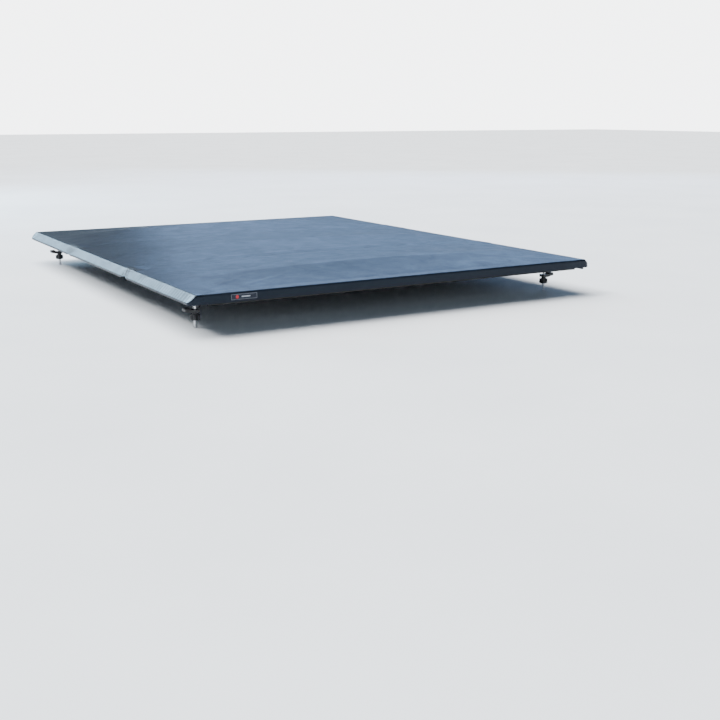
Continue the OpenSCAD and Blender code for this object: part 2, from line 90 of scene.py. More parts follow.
pins = {j["name"]: j["pos_m"] for j in frame["joints"] if j["name"].endswith(("_fold", "_far"))}
REAR_A, REAR_B = pins["rear_fold_far"][1], pins["rear_fold"][1]
FRONT_A, FRONT_B = pins["front_fold_far"][1], pins["front_fold"][1]
SETBACK = 0.012  # from a row of hinge pins to the panel's end
REAR_MID = (REAR_A + REAR_B) / 2
FRONT_MID = (FRONT_A + FRONT_B) / 2


def middle_y(node):
    lo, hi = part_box(node)
    return (lo.y + hi.y) / 2


REAR_BOW, MIDDLE_BOW, FRONT_BOW = (middle_y(n) for n in ("rear_bow", "middle_bow", "front_bow"))

# ---------------------------------------------------------------- noise


def value_noise(u, v, seed):
    """Smooth noise from -1 to 1 over two arrays."""
    table = np.random.RandomState(seed).rand(64, 64) * 2 - 1
    iu, iv = np.floor(u).astype(int), np.floor(v).astype(int)
    fu, fv = u - iu, v - iv
    fu, fv = fu * fu * (3 - 2 * fu), fv * fv * (3 - 2 * fv)
    a, b = table[iu % 64, iv % 64], table[(iu + 1) % 64, iv % 64]
    c, d = table[iu % 64, (iv + 1) % 64], table[(iu + 1) % 64, (iv + 1) % 64]
    return (a * (1 - fu) + b * fu) * (1 - fv) + (c * (1 - fu) + d * fu) * fv


def bump(t, width):
    """A bell of height 1 at t = 0."""
    return np.exp(-((t / width) ** 2))


# ---------------------------------------------------------------- the cover's section and crown

# radii of the top's side edge, the lip, the hem, the end edges, and the corners seen from above
TOP_R, LIP_R, HEM_R, END_R, PLAN_R = 0.007, 0.004, 0.0016, 0.006, 0.024
HEM_Z = HEM + 0.0004
RETURN = 0.021  # how far the vinyl turns in under a side rail
TOP_STEPS, CORNER_STEPS, BEVEL_STEPS, LIP_STEPS, RETURN_STEPS = 76, 5, 17, 4, 5


def fillet(a, b, c, r, n):
    """n + 1 points round the corner at b, from the line ab to the line bc."""
    a, b, c = (np.array(p, float) for p in (a, b, c))
    u, v = (a - b) / np.linalg.norm(a - b), (c - b) / np.linalg.norm(c - b)
    half = math.acos(float(np.clip(u @ v, -1, 1))) / 2
    centre = b + (u + v) / np.linalg.norm(u + v) * r / math.sin(half)
    p, q = b + u * r / math.tan(half) - centre, b + v * r / math.tan(half) - centre
    out = []
    for i in range(n + 1):
        d = p * (1 - i / n) + q * (i / n)
        out.append(centre + d / np.linalg.norm(d) * r)
    return out


def line(a, b, n):
    """n points from a towards b, without both ends."""
    return [np.array(a) + (np.array(b) - np.array(a)) * (i / (n + 1)) for i in range(1, n + 1)]


def half_section(inset):
    """The right half of the flat cover's section, from the middle out and down to the hem's turned-in end."""
    pull = inset * math.tan(math.radians(22.5))
    side = HALF_W - inset
    corners = [(0, EDGE - inset), (HALF_TOP - pull, EDGE - inset), (side, LIP - pull), (side, HEM_Z),
               (side - RETURN, HEM_Z)]
    top = fillet(*corners[0:3], TOP_R, CORNER_STEPS)
    lip = fillet(*corners[1:4], LIP_R, CORNER_STEPS)
    hem = fillet(*corners[2:5], HEM_R, CORNER_STEPS)
    points = [np.array(corners[0], float)] + line(corners[0], top[0], TOP_STEPS) + top
    points += line(top[-1], lip[0], BEVEL_STEPS) + lip
    points += line(lip[-1], hem[0], LIP_STEPS) + hem + line(hem[-1], corners[4], RETURN_STEPS)
    points.append(np.array(corners[4], float))
    return np.array(points)


def section(inset):
    right = half_section(inset)
    left = right[:0:-1] * [-1, 1]
    return np.concatenate([left, right])


HALF = len(half_section(0))
MIDDLE = HALF - 1
TOP_END = 1 + TOP_STEPS + CORNER_STEPS  # the last point of the top's rounded edge
LIP_START = TOP_END + BEVEL_STEPS + 1
LIP_END = LIP_START + CORNER_STEPS  # where the upright lip starts
HEM_END = LIP_END + LIP_STEPS + CORNER_STEPS + 1
COLUMNS = 2 * HALF - 1
offset = np.abs(np.arange(COLUMNS) - MIDDLE)

rail_in, rail_out = SETBACK, 0.048
bow_flat = 0.0145
stations = [
    (-HALF_L, 0), (-HALF_L + 0.052, 0), (REAR_BOW - bow_flat, BOW), (REAR_BOW + bow_flat, BOW),
    (REAR_A - rail_out, RAIL), (REAR_A - rail_in, RAIL), (REAR_MID, REAR_DIP),
    (REAR_B + rail_in, RAIL), (REAR_B + rail_out, RAIL),
    (MIDDLE_BOW - bow_flat, BOW), (MIDDLE_BOW + bow_flat, BOW),
    (FRONT_A - rail_out, RAIL), (FRONT_A - rail_in, RAIL), (FRONT_MID, FRONT_DIP),
    (FRONT_B + rail_in, RAIL), (FRONT_B + rail_out, RAIL),
    (FRONT_BOW - bow_flat, BOW), (FRONT_BOW + bow_flat, BOW), (HALF_L - 0.052, 0), (HALF_L, 0),
]
fine_y = np.arange(-HALF_L - 0.03, HALF_L + 0.03, 0.001)
fine_c = np.interp(fine_y, [s[0] for s in stations], [s[1] for s in stations])
kernel = bump(np.arange(-20, 21), 7.0)
fine_c = np.convolve(np.pad(fine_c, 20, mode="edge"), kernel / kernel.sum(), mode="valid")
spans = [(-HALF_L + 0.052, REAR_BOW), (REAR_BOW, REAR_A - 0.03), (REAR_B + 0.03, MIDDLE_BOW),
         (MIDDLE_BOW, FRONT_A - 0.03), (FRONT_B + 0.03, FRONT_BOW), (FRONT_BOW, HALF_L - 0.052)]
for y0, y1 in spans:
    t = np.clip((fine_y - y0) / (y1 - y0), 0, 1)
    fine_c -= 0.0016 * np.sin(math.pi * t) ** 2


HINGE_X = 0.777  # the middle of each hinge, either side
HINGE_RISE, FOLD_SAG = 0.0030, 0.0028


def crown(x, y):
    """Height above the flat cover: the crown, and the vinyl's rise over the hinges and dip beside them."""
    arch = np.clip(1 - (x / HALF_TOP) ** 2, 0, 1)
    high = np.interp(y, fine_y, fine_c) * arch
    for pin_a, pin_b in ((REAR_A, REAR_B), (FRONT_A, FRONT_B)):
        along = 1 / (1 + np.exp(-(y - pin_a + 0.013) / 0.003)) / (1 + np.exp((y - pin_b - 0.013) / 0.003))
        high = high + HINGE_RISE * bump(np.abs(x) - HINGE_X, 0.024) * along
        high = high - FOLD_SAG * bump(y - (pin_a + pin_b) / 2, 0.6 * (pin_b - pin_a) / 2 + 0.008) * \
            np.clip((np.abs(x) - HINGE_X - 0.012) / 0.008, 0, 1)
    return high


# ---------------------------------------------------------------- wrinkles


def wrinkles(x, y, across):
    """How far the vinyl stands out from its smooth surface. across is 0 on the top and 1 at the lip."""
    top = 1 - np.clip(across * 3, 0, 1)
    edge = np.clip((HALF_TOP - np.abs(x)) / 0.16, 0, 1)
    end = np.clip((HALF_L - np.abs(y)) / 0.16, 0, 1)
    inside = np.clip(np.minimum(edge, end) * 1.6, 0, 1)
    d = 0.0007 * value_noise(x / 0.23 + 3, y / 0.15, 11) * inside * top
    d += 0.00030 * value_noise((x + 0.6 * y) / 0.11, (y - 0.3 * x) / 0.05, 12) * top * inside
    # puckers that run in from the corners of each panel
    for cy in (-HALF_L, REAR_MID, FRONT_MID, HALF_L):
        for side in (-1, 1):
            dx, dy = x - side * HALF_TOP, y - cy
            r = np.hypot(dx, dy) + 1e-6
            angle = np.arctan2(dy, -side * dx)
            d += 0.0006 * np.sin(angle * 17 + side * cy * 9) * np.exp(-r / 0.085) * top * \
                np.clip(r / 0.03, 0, 1)
    # long faint creases, each as x, y, direction in degrees, half length, half width and height
    for cx, cy, turn, half_long, half_wide, high in creases:
        c, s = math.cos(math.radians(turn)), math.sin(math.radians(turn))
        u, v = (x - cx) * c + (y - cy) * s, -(x - cx) * s + (y - cy) * c
        v = v + 0.004 * np.sin(u / 0.06)
        d += high * bump(u, half_long) * bump(v, half_wide) * top
    # gathers across the bevelled sides
    side = np.clip(across * 4, 0, 1) * np.clip((1.15 - across) * 4, 0, 1)
    side = side * np.clip((HALF_L - np.abs(y) - 0.012) / 0.03, 0, 1)
    gather = 0.55 + 0.45 * value_noise(y / 0.09, x * 0 + 0.5, 13)
    ribs = np.sin(2 * math.pi * y / 0.0215 + 2.2 * value_noise(y / 0.05, x * 0 + np.sign(x), 14))
    d += 0.00055 * gather * ribs * side
    d += 0.0005 * value_noise(y / 0.07, np.sign(x) * 3 + 0.5, 15) * side
    for fold, near in ((REAR_MID, 0.045), (FRONT_MID, 0.06)):
        close = bump(y - fold, near)
        d += 0.0010 * close * np.sin(2 * math.pi * (y - fold) / 0.021 + 5 * across) * \
            np.clip(across * 4, 0, 1) * np.clip((1.25 - across) * 3, 0, 1)
    return d


creases = [
    (-0.62, -0.83, 38, 0.09, 0.011, 0.0011), (-0.50, -0.86, 30, 0.11, 0.012, 0.0009),
    (-0.66, -0.60, -28, 0.10, 0.011, 0.0009), (0.58, -0.84, 142, 0.10, 0.013, 0.0008),
    (-0.58, -0.21, 33, 0.12, 0.014, 0.0009), (0.40, -0.16, 12, 0.16, 0.015, 0.0008),
    (0.62, 0.12, -35, 0.10, 0.012, 0.0008), (-0.40, 0.18, -18, 0.15, 0.014, 0.0008),
    (-0.60, 0.55, 30, 0.11, 0.012, 0.0008), (0.30, 0.58, 8, 0.20, 0.016, 0.0007),
    (0.05, -0.54, 4, 0.24, 0.014, 0.0008), (0.60, 0.86, -36, 0.10, 0.012, 0.0008),
]

# ---------------------------------------------------------------- the surface


def spread(y0, y1, step):
    """Even places from y0 to y1, at most step apart."""
    n = max(2, int(math.ceil((y1 - y0) / step)))
    return list(np.linspace(y0, y1, n + 1))


cuts = [REAR_A - SETBACK, REAR_MID, REAR_B + SETBACK, FRONT_A - SETBACK, FRONT_MID, FRONT_B + SETBACK]
limits = [-HALF_L + END_R] + cuts + [HALF_L - END_R]
names = ["rear_cover", "rear_fold_near", "rear_fold_far", "middle_cover", "front_fold_near", "front_fold_far",
         "front_cover"]
ROW, FOLD_ROW, CORNER_ROW = 0.0042, 0.0025, 0.0015  # spacing of the rows of points along the cover
row_y, row_piece = [], []
for i, name in enumerate(names):
    start, stop = limits[i], limits[i + 1]
    if name == "rear_cover":
        ys = spread(start, start + PLAN_R, CORNER_ROW)[:-1] + spread(start + PLAN_R, stop, ROW)
    elif name == "front_cover":
        ys = spread(start, stop - PLAN_R, ROW)[:-1] + spread(stop - PLAN_R, stop, CORNER_ROW)
    else:
        ys = spread(start, stop, FOLD_ROW if "fold" in name else ROW)
    row_y += ys[:-1]
    row_piece += [i] * (len(ys) - 1)
row_y.append(limits[-1])
row_y = np.array(row_y)
rows = len(row_y)

flat = section(0)
cross = np.concatenate([[0], np.cumsum(np.linalg.norm(np.diff(flat, axis=0), axis=1))])
cross -= cross[MIDDLE]  # distance across the cloth from its middle
flap = np.clip((np.abs(cross) - cross[MIDDLE + TOP_END - CORNER_STEPS]), 0, None)
flap_full = float(cross[MIDDLE + HEM_END] - cross[MIDDLE + TOP_END - CORNER_STEPS])
lip_at = float(cross[MIDDLE + LIP_END] - cross[MIDDLE + TOP_END - CORNER_STEPS])


def surface(y, inset=0.0, wave=1.0):
    """One row of points across the cover at y."""
    base = section(inset)
    x, z = base[:, 0].copy(), base[:, 1].copy()
    # the hem is cut away in a shallow notch at each fold
    for fold, wide, deep in ((REAR_MID, 0.036, 0.30), (FRONT_MID, 0.036, 0.14)):
        gap = 1 - abs(y - fold) / wide
        if gap > 0:
            keep = 1 - deep * min(1.0, gap * 1.25) ** 0.9
            length = np.minimum(flap, flap_full) * keep
            d = np.where(offset > TOP_END - CORNER_STEPS,
                         cross[MIDDLE + TOP_END - CORNER_STEPS] + length, np.abs(cross))
            x = np.interp(d, cross[MIDDLE:], base[MIDDLE:, 0]) * np.sign(cross)
            z = np.interp(d, cross[MIDDLE:], base[MIDDLE:, 1])
    dz = crown(x, np.full_like(x, y))
    share = np.clip(flap / lip_at, 0, 1.3)
    lift = wrinkles(x, np.full_like(x, y), share) * wave
    # direction that the cloth stands out in
    tx, tz = np.gradient(x), np.gradient(z)
    size = np.hypot(tx, tz) + 1e-9
    nx, nz = -tz / size, tx / size
    fade = np.where(offset >= LIP_END, np.clip(1 - (offset - LIP_END) / (LIP_STEPS + 2), 0, 1), 1)
    return np.stack([x + nx * lift * fade, np.full_like(x, y), z + dz + nz * lift * fade], 1)


grid = np.array([surface(y) for y in row_y])
distance = np.concatenate([[0], np.cumsum(np.diff(row_y))]) + row_y[0]

quads, quad_uv, quad_piece = [], [], []
points = [grid.reshape(-1, 3)]


def add_quads(base, n_rows, n_cols, u, v, piece, kept=None, flip=False):
    """The quads of a grid of points, with their place on the cloth and the number of their piece."""
    i, j = np.meshgrid(np.arange(n_rows - 1), np.arange(n_cols - 1), indexing="ij")
    i, j = i.ravel(), j.ravel()
    piece = np.asarray(piece)[i]
    if kept is not None:
        chosen = kept(piece, j)
        i, j, piece = i[chosen], j[chosen], piece[chosen]
    a = base + i * n_cols + j
    corners = np.stack([a, a + 1, a + 1 + n_cols, a + n_cols], 1)
    uv = np.stack([np.stack([u[j + dj], v[i + di]], 1) for di, dj in ((0, 0), (0, 1), (1, 1), (1, 0))], 1)
    if flip:
        corners, uv = corners[:, [0, 3, 2, 1]], uv[:, [0, 3, 2, 1]]
    quads.append(corners)
    quad_uv.append(uv)
    quad_piece.append(piece)


is_fold = np.array(["fold" in n for n in names])
add_quads(0, rows, COLUMNS, cross, distance, row_piece,
          kept=lambda piece, j: ~(is_fold[piece] & (np.maximum(offset[j], offset[j + 1]) > HEM_END)))

# the rounded end edges and the upright end faces
first, last = MIDDLE - LIP_END, MIDDLE + LIP_END
lip_rows = half_section(END_R)[LIP_END:HEM_END - CORNER_STEPS + 1, 1]
RING, FACE_ROWS, HEM_ROWS = 5, 8, 4
for end in (-1, 1):
    y_end = end * HALF_L
    base = sum(len(p) for p in points)
    ring = []
    for k in range(RING + 1):
        a = math.radians(90 * k / RING)
        ring.append(surface(y_end - end * END_R * (1 - math.sin(a)), END_R * (1 - math.cos(a)), 1 - k / RING))
    ring = np.array(ring)
    ring[0] = grid[0 if end < 0 else -1]
    for k in range(RING + 1):
        ring[k][:, 1] = y_end - end * END_R * (1 - math.sin(math.radians(90 * k / RING)))
    points.append(ring.reshape(-1, 3))
    v_ring = row_y[0 if end < 0 else -1] + end * np.linspace(0, END_R * math.pi / 2, RING + 1)
    piece = 0 if end < 0 else len(names) - 1
    add_quads(base, RING + 1, COLUMNS, cross, v_ring, [piece] * (RING + 1), flip=end < 0)
    # the face goes straight down from the ring's last row
    base = sum(len(p) for p in points)
    brim = ring[-1][first:last + 1]
    corner_z = brim[0, 2]
    levels = []
    for t in np.linspace(0, 1, FACE_ROWS):
        row = brim.copy()
        row[:, 2] = brim[:, 2] + (corner_z - brim[:, 2]) * t
        levels.append(row)
    for z in lip_rows[1:]:
        row = brim.copy()
        row[:, 2] = z
        levels.append(row)
    for k in range(1, HEM_ROWS + 1):
        a = math.radians(90 * k / HEM_ROWS)
        row = brim.copy()
        row[:, 1] -= end * HEM_R * (1 - math.cos(a))
        row[:, 2] = lip_rows[-1] - HEM_R * math.sin(a)
        levels.append(row)
    face = np.array(levels)
    middle_of_face = np.clip(np.linspace(0, 1, len(levels)) * 3, 0, 1) * \
        np.clip((1 - np.linspace(0, 1, len(levels))) * 3, 0, 1)
    away = np.clip((HALF_TOP - np.abs(brim[:, 0])) / 0.03, 0, 1)
    wave = 0.0004 * value_noise(brim[:, 0] / 0.075 + 7, brim[:, 0] * 0 + end, 16) + \
        0.00022 * value_noise(brim[:, 0] / 0.018, brim[:, 0] * 0 + end * 2, 17)
    face[:, :, 1] += end * (wave * away)[None, :] * middle_of_face[:, None] * 0.8 - \
        end * 0.0003 * middle_of_face[:, None] * away[None, :]
    points.append(face.reshape(-1, 3))
    drop = EDGE - face[:, len(brim) // 2, 2]
    down = np.maximum.accumulate(np.abs(drop - drop[0]) + np.arange(len(levels)) * 1e-5)
    v_face = v_ring[-1] + end * down
    add_quads(base, len(levels), len(brim), cross[first:last + 1], v_face, [piece] * len(levels),
              flip=end < 0)

points = np.concatenate(points)

# the four corners are round from above, so the vinyl outside that round is drawn in to it
dx, dy = np.abs(points[:, 0]) - (HALF_W - PLAN_R), np.abs(points[:, 1]) - (HALF_L - PLAN_R)
far = np.hypot(dx, dy)
outside = (dx > 0) & (dy > 0)
dx, dy, far = dx[outside], dy[outside], far[outside]
soft = 0.002 * 2 * dx * dy / far ** 2
near = 0.5 * (far + PLAN_R - np.sqrt((far - PLAN_R) ** 2 + soft ** 2))
points[outside, 0] = np.sign(points[outside, 0]) * (HALF_W - PLAN_R + dx * near / far)
points[outside, 1] = np.sign(points[outside, 1]) * (HALF_L - PLAN_R + dy * near / far)

# points that meet are joined, quads with no area are dropped, and the normals are averaged
key = np.round(points * 2e6).astype(np.int64)
_, keep, back = np.unique(key, axis=0, return_index=True, return_inverse=True)
points = points[keep]
quads = back.reshape(-1)[np.concatenate(quads)]
quad_uv, quad_piece = np.concatenate(quad_uv), np.concatenate(quad_piece)

a, b, c, d = (points[quads[:, i]] for i in range(4))
area = np.cross(c - a, d - b) / 2
good = np.linalg.norm(area, axis=1) > 1e-10
quads, quad_uv, quad_piece, area = quads[good], quad_uv[good], quad_piece[good], area[good]
normals = np.zeros_like(points)
for i in range(4):
    np.add.at(normals, quads[:, i], area)
normals /= np.linalg.norm(normals, axis=1)[:, None] + 1e-12


def cover_piece(name, index):
    """A piece of the cover with its thickness: outer face, fabric backing and a rim."""
    chosen = quad_piece == index
    used, local = np.unique(quads[chosen], return_inverse=True)
    outer, uv = local.reshape(-1, 4), quad_uv[chosen]
    n = len(used)
    top, under = points[used], points[used] - normals[used] * VINYL
    a, b = outer, np.roll(outer, -1, axis=1)
    ways = {}
    for face, (start, end) in enumerate(zip(a, b)):
        for k in range(4):
            if start[k] != end[k]:
                ways[(int(start[k]), int(end[k]))] = (face, k)
    rim, rim_uv = [], []
    for (v, w), (face, k) in ways.items():
        if (w, v) not in ways:
            rim.append((w, v, v + n, w + n))
            p, q = uv[face, k], uv[face, (k + 1) % 4]
            rim_uv.append((q, p, p, q))
    rim = np.array(rim)
    corners = np.concatenate([outer, outer[:, ::-1] + n, rim])
    uvs = np.concatenate([uv, uv[:, ::-1], np.array(rim_uv)])
    verts = np.concatenate([top, under])
    edge = verts[rim]
    edge_normal = np.cross(edge[:, 2] - edge[:, 0], edge[:, 3] - edge[:, 1])
    edge_normal /= np.linalg.norm(edge_normal, axis=1)[:, None] + 1e-12
    shading = np.concatenate([normals[used][outer], -normals[used][outer[:, ::-1]],
                              np.repeat(edge_normal[:, None], 4, axis=1)])
    mats = np.repeat([0, 1, 0], [len(outer), len(outer), len(rim)])
    faces, loops, loop_uv = [], [], []
    for ring, shade, place in zip(corners.tolist(), shading, uvs):
        k = [i for i in range(4) if ring[i] != ring[i - 1]]
        faces.append([ring[i] for i in k])
        loops.append(shade[k])
        loop_uv.append(place[k])
    mesh = bpy.data.meshes.new(name)
    mesh.from_pydata(verts.tolist(), [], faces)
    mesh.polygons.foreach_set("material_index", mats)
    mesh.polygons.foreach_set("use_smooth", np.ones(len(faces), bool))
    layer = mesh.uv_layers.new(name="cloth")
    layer.data.foreach_set("uv", np.concatenate(loop_uv).astype(float).ravel())
    mesh.normals_split_custom_set(np.concatenate(loops).tolist())
    obj = bpy.data.objects.new(name, mesh)
    bpy.context.scene.collection.objects.link(obj)
    return obj


# ---------------------------------------------------------------- materials


class Nodes:
    """A material's node tree, with short ways to add to it."""

    def __init__(self, name, **principled):
        self.material = bpy.data.materials.new(name)
        self.material.use_nodes = True
        self.tree = self.material.node_tree
        self.shader = self.tree.nodes["Principled BSDF"]
        for socket, value in principled.items():
            self.shader.inputs[socket.replace("_", " ")].default_value = value

    def add(self, kind, **settings):
        node = self.tree.nodes.new(kind)
        for k, v in settings.items():
            setattr(node, k, v)
        return node

    def split(self, vector):
        """The x and y of a vector."""
        node = self.add("ShaderNodeSeparateXYZ")
        self.link(vector, node.inputs["Vector"])
        return node.outputs["X"], node.outputs["Y"]

    def link(self, a, b):
        self.tree.links.new(a, b)

    def coords(self, uv=None, scale=(1, 1, 1), rotation=(0, 0, 0)):
        mapping = self.add("ShaderNodeMapping")
        mapping.inputs["Scale"].default_value = scale
        mapping.inputs["Rotation"].default_value = rotation
        if uv:
            source = self.add("ShaderNodeUVMap", uv_map=uv).outputs["UV"]
        else:
            source = self.add("ShaderNodeTexCoord").outputs["Object"]
        self.link(source, mapping.inputs["Vector"])
        return mapping.outputs["Vector"]

    def noise(self, vector, scale, detail=3.0, rough=0.55, distortion=0.0):
        node = self.add("ShaderNodeTexNoise")
        node.inputs["Scale"].default_value = scale
        node.inputs["Detail"].default_value = detail
        node.inputs["Roughness"].default_value = rough
        node.inputs["Distortion"].default_value = distortion
        self.link(vector, node.inputs["Vector"])
        return node.outputs["Fac"]

    def voronoi(self, vector, scale, feature="F1"):
        node = self.add("ShaderNodeTexVoronoi", feature=feature)
        node.inputs["Scale"].default_value = scale
        self.link(vector, node.inputs["Vector"])
        return node.outputs["Distance"]

    def wave(self, vector, scale, direction="X", distortion=0.0, detail=0.0):
        node = self.add("ShaderNodeTexWave", bands_direction=direction)
        node.inputs["Scale"].default_value = scale
        node.inputs["Distortion"].default_value = distortion
        node.inputs["Detail"].default_value = detail
        self.link(vector, node.inputs["Vector"])
        return node.outputs["Fac"]

    def remap(self, value, low, high, from_low=0.0, from_high=1.0):
        node = self.add("ShaderNodeMapRange")
        node.inputs["From Min"].default_value = from_low
        node.inputs["From Max"].default_value = from_high
        node.inputs["To Min"].default_value = low
        node.inputs["To Max"].default_value = high
        self.link(value, node.inputs["Value"])
        return node.outputs["Result"]

    def math(self, operation, a, b=0):
        node = self.add("ShaderNodeMath", operation=operation)
        for i, v in enumerate((a, b)):
            if isinstance(v, (int, float)):
                node.inputs[i].default_value = v
            else:
                self.link(v, node.inputs[i])
        return node.outputs[0]

    def colour(self, value, *stops):
        ramp = self.add("ShaderNodeValToRGB")
        elements = ramp.color_ramp.elements
        while len(elements) < len(stops):
            elements.new(0.5)
        for e, (at, rgb) in zip(elements, stops):
            e.position = at
            e.color = (*rgb, 1)
        self.link(value, ramp.inputs["Fac"])
        self.link(ramp.outputs["Color"], self.shader.inputs["Base Color"])

    def mix(self, factor, under, over):
        node = self.add("ShaderNodeMix", data_type="RGBA")
        self.link(factor, node.inputs["Factor"])
        for socket, value in (("A", under), ("B", over)):
            slot = next(i for i in node.inputs if i.name == socket and i.type == "RGBA")
            if isinstance(value, tuple):
                slot.default_value = (*value, 1)
            else:
                self.link(value, slot)
        return next(o for o in node.outputs if o.type == "RGBA")

    def rough(self, value):
        self.link(value, self.shader.inputs["Roughness"])

    def relief(self, height, distance, strength=1.0, after=None):
        node = self.add("ShaderNodeBump")
        node.inputs["Strength"].default_value = strength
        node.inputs["Distance"].default_value = distance
        self.link(height, node.inputs["Height"])
        if after is not None:
            self.link(after, node.inputs["Normal"])
        self.link(node.outputs["Normal"], self.shader.inputs["Normal"])
        return node.outputs["Normal"]


LABEL_W, LABEL_H = 0.092, 0.020


def vinyl_material():
    m = Nodes("vinyl_face", Specular_IOR_Level=0.17, Specular_Tint=(0.72, 0.85, 1.0, 1.0))
    uv = m.coords("cloth")
    broad = m.noise(uv, 3.5, 4.0, 0.6)
    dust = m.noise(uv, 38.0, 5.0, 0.65)
    shade = m.math("ADD", m.math("MULTIPLY", broad, 0.6), m.math("MULTIPLY", dust, 0.4))
    m.colour(shade, (0.30, (0.0050, 0.0072, 0.0125)), (0.55, (0.0068, 0.0098, 0.0165)),
             (0.78, (0.0110, 0.0145, 0.0220)))
    scuff = m.noise(uv, 11.0, 6.0, 0.7, 0.8)
    # the vinyl is drawn tight and shiny round the cover's four corners
    x, y = m.split(m.coords())
    dx = m.math("SUBTRACT", m.math("ABSOLUTE", x), HALF_W - 0.008)
    dy = m.math("SUBTRACT", m.math("ABSOLUTE", y), HALF_L - 0.008)
    away = m.math("SQRT", m.math("ADD", m.math("MULTIPLY", dx, dx), m.math("MULTIPLY", dy, dy)))
    tight = m.remap(away, 0.17, 0.0, 0.016, 0.055)
    m.rough(m.math("SUBTRACT", m.remap(scuff, 0.30, 0.43, 0.3, 0.72), tight))
    cells = m.voronoi(uv, 620.0)
    pores = m.noise(uv, 1500.0, 2.0)
    grain = m.math("ADD", cells, m.math("MULTIPLY", pores, 0.35))
    soft = m.relief(grain, 0.00022, 0.55)
    m.relief(m.noise(uv, 120.0, 3.0, 0.6), 0.0005, 0.35, soft)
    return m.material


def backing_material():
    m = Nodes("vinyl_backing", Specular_IOR_Level=0.25, Sheen_Weight=0.15)
    uv = m.coords("cloth")
    warp, weft = m.wave(uv, 210.0, "X"), m.wave(uv, 210.0, "Y")
    weave = m.math("MAXIMUM", warp, weft)
    worn = m.noise(uv, 24.0, 4.0)
    m.colour(m.math("ADD", m.math("MULTIPLY", weave, 0.5), m.math("MULTIPLY", worn, 0.5)),
             (0.25, (0.018, 0.019, 0.021)), (0.8, (0.060, 0.062, 0.067)))
    m.rough(m.remap(worn, 0.78, 0.95))
    m.relief(weave, 0.0004, 0.8)
    return m.material


def powder_coat(name, dark, light):
    m = Nodes(name, Specular_IOR_Level=0.5)
    at = m.coords()
    tone = m.noise(at, 9.0, 4.0, 0.6)
    m.colour(tone, (0.3, dark), (0.75, light))
    m.rough(m.remap(m.noise(at, 45.0, 4.0), 0.34, 0.50, 0.3, 0.7))
    peel = m.relief(m.noise(at, 900.0, 2.0), 0.00018, 0.5)
    m.relief(m.noise(at, 160.0, 2.0), 0.0003, 0.25, peel)
    return m.material


def drawn_metal(name, low, high, along, rough=(0.28, 0.46)):
    m = Nodes(name, Metallic=1.0)
    scale = [60.0, 60.0, 60.0]
    scale[along] = 1.6
    streak = m.noise(m.coords(scale=tuple(scale)), 14.0, 4.0, 0.7)
    mottle = m.noise(m.coords(), 18.0, 4.0)
    m.colour(m.math("ADD", m.math("MULTIPLY", streak, 0.5), m.math("MULTIPLY", mottle, 0.5)),
             (0.3, low), (0.7, high))
    m.rough(m.remap(streak, rough[0], rough[1], 0.25, 0.75))
    m.relief(streak, 0.0002, 0.4)
    return m.material


def zinc_material():
    m = Nodes("zinc_plate", Metallic=1.0)
    at = m.coords()
    cloud = m.noise(at, 70.0, 4.0, 0.6, 0.5)
    m.colour(cloud, (0.3, (0.46, 0.47, 0.50)), (0.55, (0.60, 0.61, 0.63)), (0.8, (0.66, 0.65, 0.60)))
    m.rough(m.remap(m.noise(at, 300.0, 3.0), 0.24, 0.42, 0.3, 0.7))
    m.relief(m.noise(at, 1100.0, 2.0), 0.00012, 0.4)
    return m.material


def moulded(name, dark, light, grain=1300.0, rough=(0.46, 0.62), depth=0.00025):
    m = Nodes(name, Specular_IOR_Level=0.45)
    at = m.coords()
    m.colour(m.noise(at, 30.0, 5.0, 0.6), (0.3, dark), (0.72, light))
    m.rough(m.remap(m.noise(at, 90.0, 4.0), rough[0], rough[1], 0.3, 0.7))
    m.relief(m.voronoi(at, grain), depth, 0.5)
    return m.material


def rubber_material(name, dark, light, ribs=None):
    m = Nodes(name, Specular_IOR_Level=0.35)
    at = m.coords()
    bloom = m.noise(at, 16.0, 5.0, 0.65)
    m.colour(bloom, (0.3, dark), (0.75, light))
    m.rough(m.remap(bloom, 0.62, 0.82, 0.3, 0.7))
    skin = m.relief(m.noise(at, 700.0, 3.0), 0.0002, 0.4)
    if ribs:
        m.relief(m.wave(at, ribs, "Y"), 0.0008, 0.8, skin)
    return m.material


